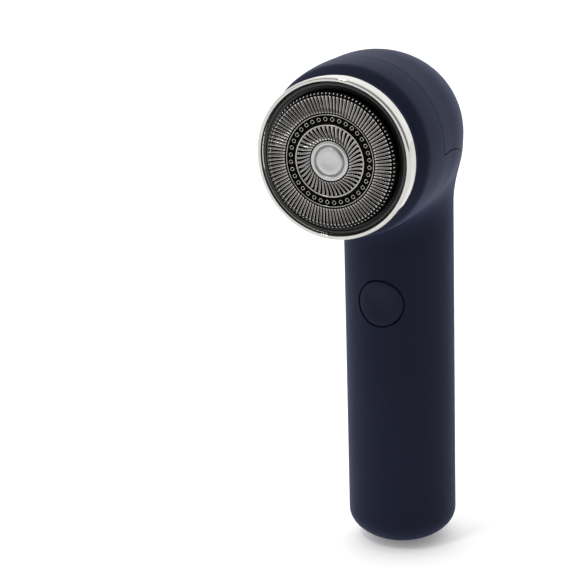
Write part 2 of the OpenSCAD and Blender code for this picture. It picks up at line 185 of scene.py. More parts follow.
def makePiece(name, points, faces, body, slotName, material, *nodes):
    # one closed mesh at the origin, riding on a body in place of the CAD nodes named last
    used, number = np.unique(faces[faces >= 0], return_inverse=True)
    points = points[used]*mm
    sizes = (faces >= 0).sum(1)
    mesh = bpy.data.meshes.new(name)
    mesh.vertices.add(len(points))
    mesh.vertices.foreach_set("co", points.astype(np.float32).ravel())
    mesh.loops.add(len(number))
    mesh.loops.foreach_set("vertex_index", number.astype(np.int32).ravel())
    mesh.polygons.add(len(sizes))
    mesh.polygons.foreach_set("loop_start", (np.cumsum(sizes) - sizes).astype(np.int32))
    mesh.polygons.foreach_set("loop_total", sizes.astype(np.int32))
    mesh.update(calc_edges=True)
    mesh.validate()
    mesh.shade_smooth()
    mesh.materials.append(material)
    piece = bpy.data.objects.new(name, mesh)
    bpy.context.scene.collection.objects.link(piece)
    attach(piece, body)
    if nodes:
        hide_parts(*nodes)
    print("made", name, len(sizes), "faces")
    return piece


def softenEdges(piece, width, steps=2, angle=38):
    # rounds every edge sharper than the angle and keeps the flats beside it flat
    bevel = piece.modifiers.new("soft edges", "BEVEL")
    bevel.width = width*mm
    bevel.segments = steps
    bevel.limit_method = "ANGLE"
    bevel.angle_limit = math.radians(angle)
    bevel.harden_normals = True


def rounded(corners, steps=5):
    # rows are (radius from the axis, distance, corner radius). A corner with a radius becomes an arc that
    # meets both sides at a tangent: the chord start (1 - t) + end t, pushed out to the radius.
    corners = np.array(corners, float)
    line = []
    for k in range(len(corners)):
        here, radius = corners[k, :2], corners[k, 2]
        if radius <= 0:
            line.append(here[None])
            continue
        before = corners[k - 1, :2] - here
        after = corners[(k + 1) % len(corners), :2] - here
        before, after = before/np.linalg.norm(before), after/np.linalg.norm(after)
        half = 0.5*math.acos(np.clip(before @ after, -1, 1))
        middle = here + (before + after)/np.linalg.norm(before + after)*radius/math.sin(half)
        start = here + before*radius/math.tan(half) - middle
        end = here + after*radius/math.tan(half) - middle
        t = np.linspace(0, 1, steps + 1)[:, None]
        arc = start*(1 - t) + end*t
        line.append(middle + arc/np.linalg.norm(arc, axis=1, keepdims=True)*radius)
    return np.concatenate(line)


def turned(profile, steps):
    # a closed outline of (radius r, distance h in front) turned about the head's axis:
    # x = r sin a, y = -h, z = axis height + r cos a
    a = fullTurn*np.arange(steps)/steps
    r, h = profile[:, :1], profile[:, 1:2]
    points = np.stack([r*np.sin(a), -h + 0*a, axisZ + r*np.cos(a)], -1).reshape(-1, 3)
    faces = gridFaces(len(profile), steps, wrap=True)
    last = (len(profile) - 1)*steps
    j = np.arange(steps)
    k = (j + 1) % steps
    faces = np.concatenate([faces, np.stack([last + j, last + k, k, j], 1)])
    points, faces = weld(points, faces)
    return points, outward(points, faces)


# ---- materials ----


def linearColour(hexText):
    # sRGB hex to linear light, channel by channel
    channels = [int(hexText[i:i + 2], 16)/255 for i in (1, 3, 5)]
    return [c/12.92 if c <= 0.04045 else ((c + 0.055)/1.055)**2.4 for c in channels] + [1]


def addNode(tree, kind, values=None, links=None, **settings):
    # adds one node with its settings, fixed socket values and incoming links
    node = tree.nodes.new(kind)
    for key, value in settings.items():
        setattr(node, key, value)
    for key, value in (values or {}).items():
        node.inputs[key].default_value = value
    for key, output in (links or {}).items():
        tree.links.new(output, node.inputs[key])
    return node


def makeMaterial(name, look):
    # A fine pattern (grain, brushed lines or turned rings) moves the colour between two tones and lifts the
    # surface; a wide, soft pattern moves the roughness, as handling and polishing do.
    material = bpy.data.materials.new(name)
    material.use_nodes = True
    tree = material.node_tree
    tree.nodes.clear()
    where = addNode(tree, "ShaderNodeTexCoord").outputs["Object"]
    stretch = look.get("stretch", (1, 1, 1))
    placed = addNode(tree, "ShaderNodeMapping",
                     {"Location": [-c*s for c, s in zip((0, 0, axisZ*mm), stretch)], "Scale": stretch},
                     {"Vector": where}).outputs["Vector"]
    if look.get("rings"):
        fine = addNode(tree, "ShaderNodeTexWave",
                       {"Scale": 0.314/(look["grain"]*mm), "Distortion": 0.6, "Detail": 2.0,
                        "Detail Scale": 1.5},
                       {"Vector": placed}, wave_type="RINGS", rings_direction="Y").outputs["Fac"]
    else:
        fine = addNode(tree, "ShaderNodeTexNoise",
                       {"Scale": 1/(look["grain"]*mm), "Detail": 3.0, "Roughness": 0.6},
                       {"Vector": placed}).outputs["Fac"]
    wide = addNode(tree, "ShaderNodeTexNoise", {"Scale": 1/(look.get("patch", 18)*mm), "Detail": 2.0},
                   {"Vector": where}).outputs["Fac"]
    spots = addNode(tree, "ShaderNodeMapRange", {"From Min": 0.3, "From Max": 0.7}, {"Value": fine})
    darker, lighter = (linearColour(tone) for tone in look["tones"])
    colour = addNode(tree, "ShaderNodeMix", {6: darker, 7: lighter}, {0: spots.outputs["Result"]},
                     data_type="RGBA").outputs[2]
    if "paintedShade" in look:       # below a level along the head's axis the colour fades to a dark tone: painted shade in the recesses
        low, high, dark = look["paintedShade"]
        depth = addNode(tree, "ShaderNodeSeparateXYZ", None, {"Vector": where}).outputs["Y"]
        shadeAmount = addNode(tree, "ShaderNodeMapRange", {"From Min": -high*mm, "From Max": -low*mm},
                         {"Value": depth}, interpolation_type="SMOOTHSTEP").outputs["Result"]
        colour = addNode(tree, "ShaderNodeMix", {7: linearColour(dark)}, {0: shadeAmount, 6: colour},
                         data_type="RGBA").outputs[2]
    low, high = look["roughness"]
    rough = addNode(tree, "ShaderNodeMapRange",
                    {"From Min": 0.3, "From Max": 0.7, "To Min": low, "To Max": high}, {"Value": wide})
    bump = addNode(tree, "ShaderNodeBump", {"Strength": look.get("lift", 0.5), "Distance": look["depth"]*mm},
                   {"Height": fine})
    shader = addNode(tree, "ShaderNodeBsdfPrincipled", look.get("sockets", {}),
                     {"Base Color": colour, "Roughness": rough.outputs["Result"],
                      "Normal": bump.outputs["Normal"]})
    addNode(tree, "ShaderNodeOutputMaterial", None, {"Surface": shader.outputs["BSDF"]})
    return material


bareMetal = {"Metallic": 1.0}
paint = {"tones": ("#181b2a", "#1c1f30"), "grain": 0.22}
bloom = {"IOR": 1.47, "Sheen Roughness": 0.45, "Sheen Tint": linearColour("#98a2dc")}
# rubbery soft-touch paint over moulded ABS: deep navy, a fine even tooth, no clear reflections
softTouchPaint = makeMaterial("softTouchPaint", {
    **paint, "depth": 0.006, "roughness": (0.56, 0.62),
    "sockets": {**bloom, "Specular IOR Level": 0.05, "Sheen Weight": 0.17}})
# the button's cap has the same paint, worn a touch smoother by thumbs
thumbedPaint = makeMaterial("thumbedPaint", {
    **paint, "depth": 0.004, "roughness": (0.50, 0.58), "patch": 6,
    "sockets": {**bloom, "Specular IOR Level": 0.08, "Sheen Weight": 0.14}})
# moulded black ABS with a fine spark-eroded texture: dark, with small soft glints
blackAbs = makeMaterial("blackAbs", {
    "tones": ("#0c0c0d", "#141415"), "grain": 0.12, "depth": 0.006, "roughness": (0.28, 0.40),
    "sockets": {"IOR": 1.53}})
# bright chrome plated on a moulded ring: clear reflections, the faintest waviness
chromePlate = makeMaterial("chromePlate", {
    "tones": ("#bab9b5", "#c3c2be"), "grain": 2.5, "depth": 0.002, "lift": 0.2, "roughness": (0.05, 0.09),
    "sockets": bareMetal})
# ground spring steel: bright crowns with fine grinding lines round the axis; below a level its recesses turn
# near black, painted shade
foilSteelPaintedShade = makeMaterial("foilSteelPaintedShade", {
    "tones": ("#a09d99", "#b6b3af"), "grain": 0.16, "rings": True, "depth": 0.002, "lift": 0.2,
    "roughness": (0.17, 0.25), "patch": 5, "paintedShade": (foilTrack - 0.24, foilTrack - 0.1, "#0b0b0b"),
    "sockets": bareMetal})
# the foil's steel again on the small bars over its edge, as a lit copy: lighter tones and none of the painted
# recess shade, a painted highlight that keeps them bright all over
litEdgeSteel = makeMaterial("litEdgeSteel", {
    "tones": ("#b4b1ac", "#c6c3be"), "grain": 0.16, "rings": True, "depth": 0.002, "lift": 0.3,
    "roughness": (0.18, 0.28), "patch": 5, "sockets": bareMetal})
# satin aluminium disc, turned: soft broad highlight and fine rings; from its groove's top downward a darker
# grey, painted shade in the groove
turnedAluminium = makeMaterial("turnedAluminium", {
    "tones": ("#adadae", "#bcbcbd"), "grain": 0.22, "rings": True, "depth": 0.003, "lift": 0.4,
    "roughness": (0.34, 0.42), "patch": 4, "paintedShade": (foilTrack - 0.04, foilTrack + 0.14, "#747475"),
    "sockets": bareMetal})
# hardened cutter steel: the blades' tips keep the steel's own grey, and further back the plate turns near
# black, painted shade under the foil
bladeSteel = makeMaterial("bladeSteel", {
    "tones": ("#6f6e6c", "#858482"), "grain": 0.10, "stretch": (1, 6, 1), "depth": 0.002,
    "roughness": (0.30, 0.42), "paintedShade": (46.4, 48.4, "#0e0e0f"), "sockets": bareMetal})
# glass-filled nylon, as moulded: off-white, slightly mottled, waxy
mouldedNylon = makeMaterial("mouldedNylon", {
    "tones": ("#d9d6cc", "#e3e0d7"), "grain": 0.5, "depth": 0.01, "roughness": (0.42, 0.55),
    "sockets": {"IOR": 1.53, "Subsurface Weight": 0.1, "Subsurface Scale": 0.001}})
# acetal, as moulded: white and slippery, with a low even gloss
mouldedAcetal = makeMaterial("mouldedAcetal", {
    "tones": ("#dcdcd8", "#e6e6e2"), "grain": 0.6, "depth": 0.006, "roughness": (0.30, 0.38),
    "sockets": {"IOR": 1.48}})
# zinc-plated screws: cool grey with a slight bloom
zincPlate = makeMaterial("zincPlate", {
    "tones": ("#9fa2a8", "#b9bcc1"), "grain": 0.25, "depth": 0.003, "roughness": (0.28, 0.42), "patch": 2,
    "sockets": bareMetal})
# deep-drawn plated steel can: fine draw lines along the axis
drawnSteel = makeMaterial("drawnSteel", {
    "tones": ("#a9abad", "#bcbec0"), "grain": 0.15, "stretch": (1, 0.08, 1), "depth": 0.003,
    "roughness": (0.24, 0.34), "sockets": bareMetal})
# nickel-plated stamped socket: smooth, a little yellow
nickelPlate = makeMaterial("nickelPlate", {
    "tones": ("#b5b0a6", "#c3beb4"), "grain": 0.3, "depth": 0.002, "roughness": (0.16, 0.26), "patch": 3,
    "sockets": bareMetal})
# nickel strip, rolled: satin with lines along its length
rolledNickel = makeMaterial("rolledNickel", {
    "tones": ("#aaa59b", "#bbb6ac"), "grain": 0.12, "stretch": (1, 1, 0.1), "depth": 0.002,
    "roughness": (0.30, 0.42), "patch": 3, "sockets": bareMetal})
# glass-epoxy board under green solder mask: glossy, with the weave's faint mottling
solderMask = makeMaterial("solderMask", {
    "tones": ("#0c4a24", "#12582c"), "grain": 0.35, "depth": 0.006, "roughness": (0.20, 0.32),
    "sockets": {"IOR": 1.5, "Coat Weight": 0.3, "Coat Roughness": 0.15}})
# heat-shrunk PVC round the cell: green, glossy, slightly wrinkled
shrinkWrap = makeMaterial("shrinkWrap", {
    "tones": ("#1f7a4a", "#2a8a57"), "grain": 1.6, "depth": 0.03, "roughness": (0.22, 0.34),
    "sockets": {"IOR": 1.53}})
# sintered ferrite: nearly black and grainy
sinteredFerrite = makeMaterial("sinteredFerrite", {
    "tones": ("#1d1d1f", "#2c2c2e"), "grain": 0.15, "depth": 0.01, "roughness": (0.55, 0.7),
    "sockets": {"IOR": 1.6}})
# sintered bronze bushes, oily and porous
sinteredBronze = makeMaterial("sinteredBronze", {
    "tones": ("#8a6430", "#a67c40"), "grain": 0.12, "depth": 0.006, "roughness": (0.35, 0.5), "patch": 2,
    "sockets": bareMetal})
# enamelled copper wire wound side by side: warm, banded across the axis
enamelledCopper = makeMaterial("enamelledCopper", {
    "tones": ("#7a3b1c", "#b4633a"), "grain": 0.2, "stretch": (0.15, 1, 0.15), "depth": 0.02,
    "roughness": (0.24, 0.34), "sockets": {"Metallic": 0.85}})
# moulded nitrile rubber: matte black with a dusty bloom
nitrileRubber = makeMaterial("nitrileRubber", {
    "tones": ("#131313", "#1d1d1d"), "grain": 0.3, "depth": 0.01, "roughness": (0.68, 0.82),
    "sockets": {"IOR": 1.52}})
# PVC wire insulation: red, satin, drawn smooth
wirePvc = makeMaterial("wirePvc", {
    "tones": ("#8c1414", "#9c1c1a"), "grain": 0.4, "depth": 0.004, "roughness": (0.35, 0.45),
    "sockets": {"IOR": 1.53}})
# hard-drawn spring wire: bright with lines along the wire
springWire = makeMaterial("springWire", {
    "tones": ("#a3a3a5", "#b8b8ba"), "grain": 0.08, "depth": 0.002, "roughness": (0.22, 0.32), "patch": 2,
    "sockets": bareMetal})

cadFinishes = {
    "switch_plunger": blackAbs, "switch_body": blackAbs, "circuit_board": solderMask,
    "board_screws": zincPlate, "inner_frame": mouldedNylon, "usb_socket": nickelPlate,
    "usb_tongue": blackAbs, "battery_cell": shrinkWrap, "battery_tabs": rolledNickel,
    "motor_can": drawnSteel, "motor_end_cap": mouldedNylon, "motor_magnets": sinteredFerrite,
    "motor_bushes": sinteredBronze, "motor_shaft": drawnSteel, "motor_armature": enamelledCopper,
    "motor_mount": mouldedNylon, "motor_screws": zincPlate, "motor_leads": wirePvc,
    "head_base": blackAbs, "base_screws": zincPlate, "shaft_seal": nitrileRubber,
    "drive_hub": mouldedAcetal, "drive_cup": mouldedAcetal,
    "head_seal": nitrileRubber, "cutter_retainer": blackAbs, "cutter_blades": bladeSteel,
    "cutter_carrier": mouldedAcetal,
}
for node, finish in cadFinishes.items():
    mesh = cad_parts[node].data
    mesh.materials.clear()
    mesh.materials.append(finish)
print("materials made")

# ---- casing: two shells parted along one line ----

casing = {
    "wall": 1.7,               # thickness of both shells
    "gap": 0.09,               # each shell's edge stands back this far from the parting line
    "edge": 0.16,              # rounding of the shells' edges
    "footH": 9.4,              # height of the elliptical foot, and what its flat cuts off
    "footCut": 0.6,
    "topZ": 116.0,             # the handle's own round top starts here and is this high
    "topH": 12.0,
    "domeR": 24.1,             # the dome's radius and depth, and where it starts
    "domeDepth": 32.0,
    "domeY": -19.0,
    "wideY": -28.0,            # the barrel is widest here
    "rimY": -37.5,             # the barrel's rounded front edge
    "rimR": 23.7,
    "rimRound": 3.0,
    "neckR": 21.35,            # neck between that edge and the ring
    "neckY": -39.9,
    "mouthR": 20.5,            # bore that takes the shaving head
    "ledgeR": 18.6,            # ledge that the motor mount bears on
    "ledgeFront": -34.0,
    "ledgeBack": -32.0,
    "blend": 9.0,              # how widely the handle flows into the head, in front and at the back
    "blendBack": 6.0,
    "fanZ": 90.0,              # height of the point that the elbow's sections fan out from
    "jogZ": -1.5,              # the parting line turns back this far from the head's axis
    "jogR": 23.5,              # radius of its bend
    "frontCols": 76,
    "backCols": 64,
}


def barrelRadius(y):
    # swells from the dome's radius to the widest, then tapers by the square of the distance to the front edge
    c = casing
    swell = np.clip((c["domeY"] - y)/(c["domeY"] - c["wideY"]), 0, 1)
    taper = np.clip((c["wideY"] - y)/(c["wideY"] - c["rimY"]), 0, None)
    return c["domeR"] + (barrelR - c["domeR"])*swell*swell*(3 - 2*swell) - (barrelR - c["rimR"])*taper**2


def bodyField(x, y, z):
    # below 0 inside. Head: (sqrt((rho/R)^2 + (back/depth)^2) - 1) R, less the barrel's swell. Handle:
    # (sqrt((r/R)^2 + (up/height)^2) - 1) R. Result: min(head, handle) - k/4 max(1 - |head - handle|/k, 0)^2
    c = casing
    behind = np.maximum(y - c["domeY"], 0)
    rho = np.hypot(x, z - axisZ)
    head = (np.hypot(rho/c["domeR"], behind/c["domeDepth"]) - 1)*c["domeR"] - (barrelRadius(y) - c["domeR"])
    above = np.maximum(z - c["topZ"], 0)
    handle = (np.hypot(np.hypot(x, y)/handleR, above/c["topH"]) - 1)*handleR
    s = np.clip((y - 5)/10, 0, 1)
    k = c["blend"] + (c["blendBack"] - c["blend"])*s*s*(3 - 2*s)
    near = np.maximum(1 - np.abs(head - handle)/k, 0)
    return np.minimum(head, handle) - k/4*near**2


def castRays(start, way, level):
    # distance along each ray from inside the body to where the field reaches the level: steps, then halving
    reach = np.linspace(0, 46, 93)
    p = start[..., None, :] + way[..., None, :]*reach[:, None]
    first = np.argmax(bodyField(p[..., 0], p[..., 1], p[..., 2]) > level, -1)
    low, high = reach[first - 1], reach[first]
    for _ in range(26):
        middle = (low + high)/2
        p = start + way*middle[..., None]
        out = bodyField(p[..., 0], p[..., 1], p[..., 2]) > level
        low, high = np.where(out, low, middle), np.where(out, middle, high)
    return (low + high)/2


def partingReach(turn):
    # distance from the fan's centre to the parting line, along each section's direction in side view:
    # the handle's plane, then the bend's circle, then the level line below the head's axis
    c = casing
    y, z = np.cos(turn), np.sin(turn)
    jogZ = axisZ + c["jogZ"]
    bendY, bendZ = seamY - c["jogR"] - headSeamY, jogZ - c["jogR"] - c["fanZ"]
    straight = (seamY - headSeamY)/np.maximum(y, 1e-6)
    b = y*bendY + z*bendZ
    bend = b + np.sqrt(np.maximum(b*b - bendY**2 - bendZ**2 + c["jogR"]**2, 0))
    level = (jogZ - c["fanZ"])/np.maximum(z, 1e-6)
    return np.where(z*straight <= bendZ, straight, np.where(y*level <= bendY, level, bend))


def colSpread(count):
    # even steps from 0 to 1, with one more line close to each end that holds the edge
    t = np.linspace(0, 1, count)
    return np.sort(np.append(t, [0.010, 0.990]))


def sections(inset):
    # the body's sections from the foot up, round the elbow and up to the head's parting plane, inset by that
    # much. Each has a middle, a direction "up" in its plane (sideways is x) and the parting line's angle.
    c = casing
    flat = math.acos((c["footH"] - c["footCut"])/c["footH"])
    a = np.linspace(flat, math.pi/2, 12)
    footZ = np.maximum(c["footH"] - c["footCut"] - (c["footH"] - inset)*np.cos(a), inset)
    footR = (handleR - inset)*np.sin(a)
    straightZ = np.arange(c["footH"] - c["footCut"] + 1.6, c["fanZ"] - 0.5, 1.6)
    z = np.concatenate([footZ, straightZ])
    r = np.concatenate([footR, np.full(len(straightZ), handleR - inset)])
    middle = np.stack([0*z, 0*z, z], 1)
    up = np.tile([0.0, 1.0, 0.0], (len(z), 1))
    parting = np.arccos(seamY/r)
    turn = np.linspace(0, math.pi/2, 60)
    fanUp = np.stack([0*turn, np.cos(turn), np.sin(turn)], 1)
    spine = -headSeamY + (axisZ - c["fanZ"] + headSeamY)*turn/(math.pi/2)
    centre = np.array([0, headSeamY, c["fanZ"]])
    fanMiddle = centre + spine[:, None]*fanUp
    reach = partingReach(turn)
    side = castRays(centre + reach[:, None]*fanUp, np.tile([1.0, 0.0, 0.0], (len(turn), 1)), -inset)
    fanParting = np.arctan2(side, reach - spine)
    return (np.concatenate([middle, fanMiddle]), np.concatenate([up, fanUp]),
            np.concatenate([parting, fanParting]), r)


def skin(inset, front):
    # points on one side of the parting line: middle + t (cos a up + sin a x), where t meets the surface
    c = casing
    middle, up, parting, r = sections(inset)
    back = c["gap"]/handleR
    if front:
        low, span = parting + back, fullTurn - 2*parting - 2*back
        u = colSpread(c["frontCols"])
    else:
        low, span = -parting + back, 2*parting - 2*back
        u = colSpread(c["backCols"])
    a = low[:, None] + span[:, None]*u
    way = np.cos(a)[..., None]*up[:, None] + np.sin(a)[..., None]*np.array([1.0, 0, 0])
    start = np.broadcast_to(middle[:, None], way.shape)
    n = len(r)
    t = np.concatenate([np.broadcast_to(r[:, None], a[:n].shape), castRays(start[n:], way[n:], -inset)])
    return start + way*t[..., None]


def barrelSkin(profile):
    # rows of (y, radius) turned about the head's axis, on the columns of both sides of the parting line
    c = casing
    y, r = profile[:, 0], profile[:, 1]
    parting = math.acos(c["jogZ"]/barrelR) + c["gap"]/handleR
    a = np.concatenate([parting + (fullTurn - 2*parting)*colSpread(c["frontCols"]),
                        -parting + 2*parting*colSpread(c["backCols"])[1:-1]])
    return np.stack([r[:, None]*np.sin(a), np.broadcast_to(y[:, None], (len(y), len(a))),
                     axisZ + r[:, None]*np.cos(a)], -1)


def stadiumReach(a, halfWidth, halfHeight):
    # distance from the middle to the outline of a slot with round ends, in the direction a
    straight = halfWidth - halfHeight
    c, s = np.abs(np.cos(a)), np.abs(np.sin(a))
    onFlat = halfHeight/np.maximum(s, 1e-6)
    onEnd = straight*c + np.sqrt(np.maximum(halfHeight**2 - (straight*s)**2, 0))
    return np.where(onFlat*c <= straight, onFlat, onEnd)


def patchFaces(loop, rings, start):
    # quads from a closed loop of existing points inwards over rings of new points that begin at start
    n = len(loop)
    index = np.concatenate([loop[None], start + np.arange(rings*n).reshape(rings, n)])
    i, j = np.meshgrid(np.arange(rings), np.arange(n), indexing="ij")
    k = (j + 1) % n
    return np.stack([index[i, j], index[i, k], index[i + 1, k], index[i + 1, j]], -1).reshape(-1, 4)


def holeRings(loopPoints, middle, outline, steps, lift):
    # new points from a loop to an outline in a plane: loop (1 - t) + outline t, then lifted onto the surface
    t = np.asarray(steps)[:, None, None]
    flat = loopPoints*(1 - t) + (middle + outline)*t
    return lift(flat).reshape(-1, 3)


buttonHole = {
    "z": (buttonBox[0][2] + buttonBox[1][2])/2,
    "r": 7.1,
    "block": 9.6,              # half the side of the square of casing round the hole that is made anew
    "rings": (0.3, 0.55, 0.76, 0.92, 1.0),
}
portHole = {
    "y": (socketBox[0][1] + socketBox[1][1])/2,
    "halfWidth": (socketBox[1][0] - socketBox[0][0])/2 + 0.15,
    "halfHeight": (socketBox[1][1] - socketBox[0][1])/2 + 0.15,
    "rings": (0.4, 0.75, 1.0),
}


def frontShell():
    c = casing
    outer, inner = skin(0, True), skin(c["wall"], True)
    cols = outer.shape[1]
    y = np.linspace(headSeamY - c["gap"], c["rimY"] + 2.2, 9)
    wallR = barrelRadius(c["ledgeBack"]) - c["wall"]
    rim = rounded([(barrelRadius(c["rimY"] + 1.9), c["rimY"] + 1.9, 0), (c["rimR"], c["rimY"], c["rimRound"]),
                   (c["neckR"], c["neckY"], 0.9), (c["neckR"] - 0.05, mouthY, 0.25),
                   (c["mouthR"], mouthY, 0.2),
                   (c["mouthR"], c["ledgeFront"], 0.3), (c["ledgeR"], c["ledgeFront"], 0.1),
                   (c["ledgeR"], c["ledgeBack"], 0.1), (wallR, c["ledgeBack"], 0)], 6)
    outside = np.concatenate([np.stack([y, barrelRadius(y)], 1), rim[:, ::-1]])
    ends = np.minimum(np.searchsorted(-y, -c["ledgeBack"]), len(y))
    inY = np.where(np.arange(len(outside)) < ends, outside[:, 0], c["ledgeBack"])
    inside = np.stack([inY, barrelRadius(inY) - c["wall"]], 1)
    outerBarrel, innerBarrel = barrelSkin(outside), barrelSkin(inside)
    allCols = outerBarrel.shape[1]

    def wide(grid):            # the handle's rows get empty columns where only the barrel goes all round
        filler = np.repeat(grid[:, :1], allCols - cols, axis=1)
        return np.concatenate([grid, filler], 1)

    outer = np.concatenate([wide(outer), outerBarrel])
    inner = np.concatenate([wide(inner), innerBarrel])
    rows = outer.shape[0]
    barrelStart = rows - len(outside)
    faces = gridFaces(rows, allCols, wrap=True)
    i, j = faces[:, 0] // allCols, faces[:, 0] % allCols
    keep = (i >= barrelStart) | (j < cols - 1)
    height = outer[:, cols//2, 2]                       # rows of the square round the button
    low = np.argmin(np.abs(height[:barrelStart] - (buttonHole["z"] - buttonHole["block"])))
    high = np.argmin(np.abs(height[:barrelStart] - (buttonHole["z"] + buttonHole["block"])))
    nearMiddle = (np.abs(outer[low, :cols, 0]) < buttonHole["block"]) & (outer[low, :cols, 1] < 0)
    left, right = np.flatnonzero(nearMiddle)[[0, -1]]
    keep &= ~((i >= low) & (i < high) & (j >= left) & (j < right))
    innerKeep = keep & (i < barrelStart + ends)
    points, inPoints = outer.reshape(-1, 3), inner.reshape(-1, 3)

    loop = np.concatenate([
        low*allCols + np.arange(left, right), np.arange(low, high)*allCols + right,
        high*allCols + np.arange(right, left, -1), np.arange(high, low, -1)*allCols + left])
    flat = points[loop][:, [0, 2]] - [0, buttonHole["z"]]
    a = np.arctan2(flat[:, 1], flat[:, 0])
    circle = buttonHole["r"]*np.stack([np.cos(a), np.sin(a)], 1)

    def onHandle(radius):      # x and z stay, y = -sqrt(R^2 - x^2)
        return lambda p: np.stack([p[..., 0], -np.sqrt(radius**2 - p[..., 0]**2), p[..., 1]], -1)

    holeFaces = patchFaces(loop, len(buttonHole["rings"]), len(points))
    middle = np.array([0, buttonHole["z"]])
    newOuter = holeRings(points[loop][:, [0, 2]], middle, circle, buttonHole["rings"], onHandle(handleR))
    newInner = holeRings(inPoints[loop][:, [0, 2]], middle, circle, buttonHole["rings"],
                         onHandle(handleR - c["wall"]))
    points, inPoints = np.concatenate([points, newOuter]), np.concatenate([inPoints, newInner])

    count = 24                                          # the foot's flat, from its edge to the charging port
    chordT = np.linspace(0, 1, count + 2)[1:-1, None]
    chord = points[cols - 1]*(1 - chordT) + points[0]*chordT
    inChord = inPoints[cols - 1]*(1 - chordT) + inPoints[0]*chordT
    loop = np.concatenate([np.arange(cols), len(points) + np.arange(count)])
    points, inPoints = np.concatenate([points, chord]), np.concatenate([inPoints, inChord])
    flat = points[loop][:, :2] - [0, portHole["y"]]
    a = np.arctan2(flat[:, 1], flat[:, 0])
    slot = stadiumReach(a, portHole["halfWidth"], portHole["halfHeight"])[:, None]
    slot = slot*np.stack([np.cos(a), np.sin(a)], 1)
    portFaces = patchFaces(loop, len(portHole["rings"]), len(points))[:, ::-1]
    middle = np.array([0, portHole["y"]])
    newOuter = holeRings(points[loop][:, :2], middle, slot, portHole["rings"],
                         lambda p: np.concatenate([p, 0*p[..., :1]], -1))
    newInner = holeRings(inPoints[loop][:, :2], middle, slot, portHole["rings"],
                         lambda p: np.concatenate([p, 0*p[..., :1] + c["wall"]], -1))
    points, inPoints = np.concatenate([points, newOuter]), np.concatenate([inPoints, newInner])
    outerFaces = np.concatenate([faces[keep], holeFaces, portFaces])
    innerFaces = np.concatenate([faces[innerKeep], holeFaces, portFaces])
    return points, inPoints, outerFaces, innerFaces


def backShell():
    c = casing
    outer, inner = skin(0, False), skin(c["wall"], False)
    outer[-1, :, 1] += c["gap"]          # the last row stands back from the head's parting plane
    inner[-1, :, 1] += c["gap"]
    rows, cols = outer.shape[:2]
    faces = gridFaces(rows, cols)
    points, inPoints = outer.reshape(-1, 3), inner.reshape(-1, 3)
    t = np.linspace(0, 1, cols)[:, None]       # the foot's flat, between its edge and the parting line
    chord = points[0]*(1 - t) + points[cols - 1]*t
    inChord = inPoints[0]*(1 - t) + inPoints[cols - 1]*t
    start = len(points)
    j = np.arange(cols - 1)
    flat = np.stack([j + 1, j, start + j, start + j + 1], 1)
    points, inPoints = np.concatenate([points, chord]), np.concatenate([inPoints, inChord])
    return points, inPoints, np.concatenate([faces, flat])


for name, half, node in (("frontShell", frontShell, "front_shell"), ("backShell", backShell, "back_shell")):
    points, faces = closed(*half())
    shell = makePiece(name, points, outward(points, faces), "handle", "shell_navy", softTouchPaint, node)
    softenEdges(shell, casing["edge"])

# ---- power button ----

button = {
    "r": 6.62,
    "dish": 0.7,               # depth of the hollow in its middle
    "round": 0.45,             # rounding of its edge
    "sideEnd": -12.1,          # the side ends on the flange
    "flangeR": 8.15,
    "flangeEnd": -9.9,
    "stemR": 1.6,
    "stemEnd": buttonBox[1][1],
    "sink": 0.03,              # its face lies this far below the casing's
    "steps": 96,
}


def buttonCap():
    # rows of radius r and depth d under the handle's own curve: y = -sqrt(R^2 - x^2) + d on the face,
    # y fixed on the flange and stem; the hollow is dish (1 - (r/edge)^2)^2
    b = button
    a = fullTurn*np.arange(b["steps"])/b["steps"]
    edge = b["r"] - b["round"]
    r = np.concatenate([[onAxis], np.linspace(0.7, edge, 10)])
    depth = b["dish"]*(1 - (r/edge)**2)**2
    arc = np.linspace(0, math.pi/2, 6)[1:]
    r = np.concatenate([r, edge + b["round"]*np.sin(arc), [b["r"]]])
    depth = np.concatenate([depth, b["round"]*(1 - np.cos(arc)), [b["round"] + 0.3]])
    x, z = r[:, None]*np.cos(a), r[:, None]*np.sin(a)
    curve = np.sqrt((handleR - b["sink"])**2 - x**2)
    face = np.stack([x, depth[:, None] - curve, buttonHole["z"] + z], -1)
    lower = np.array([(b["r"], b["sideEnd"]), (b["flangeR"], b["sideEnd"]), (b["flangeR"], b["flangeEnd"]),
                      (b["stemR"], b["flangeEnd"]), (b["stemR"], b["stemEnd"]), (onAxis, b["stemEnd"])])
    x, z = lower[:, :1]*np.cos(a), lower[:, :1]*np.sin(a)
    under = np.stack([x, lower[:, 1:] + 0*x, buttonHole["z"] + z], -1)
    points = np.concatenate([face, under])
    rows = len(points)
    faces = gridFaces(rows, b["steps"], wrap=True)
    points = points.reshape(-1, 3)
    points[:b["steps"]] = points[:b["steps"]].mean(0)
    points[-b["steps"]:] = points[-b["steps"]:].mean(0)
    points, faces = weld(points, faces)
    return points, outward(points, faces)


points, faces = buttonCap()
cap = makePiece("powerButton", points, faces, "button", "button_navy", thumbedPaint, "power_button")
softenEdges(cap, 0.12)

# ---- chrome ring ----

ring = {
    "outerR": ringBox[1][0],
    "innerR": 20.55,           # seat on the foil holder
    "lipR": 21.0,              # inner edge of the front face
    "slopeR": 20.85,           # foot of the short slope behind that edge
    "back": -ringBox[1][1],
    "front": -ringBox[0][1],
}
profile = rounded([(ring["innerR"], ring["back"], 0.1), (ring["outerR"] - 0.2, ring["back"], 0.12),
                   (ring["outerR"], ring["back"] + 0.4, 0.3), (ring["outerR"], ring["front"], 0.6),
                   (ring["lipR"], ring["front"], 0.15), (ring["slopeR"], ring["front"] - 0.7, 0.2),
                   (ring["innerR"], ring["front"] - 0.9, 0.12)], 8)
points, faces = turned(profile, 192)
makePiece("chromeRing", points, faces, "shaving_head", "chrome_plate", chromePlate, "chrome_ring")

# ---- foil holder ----

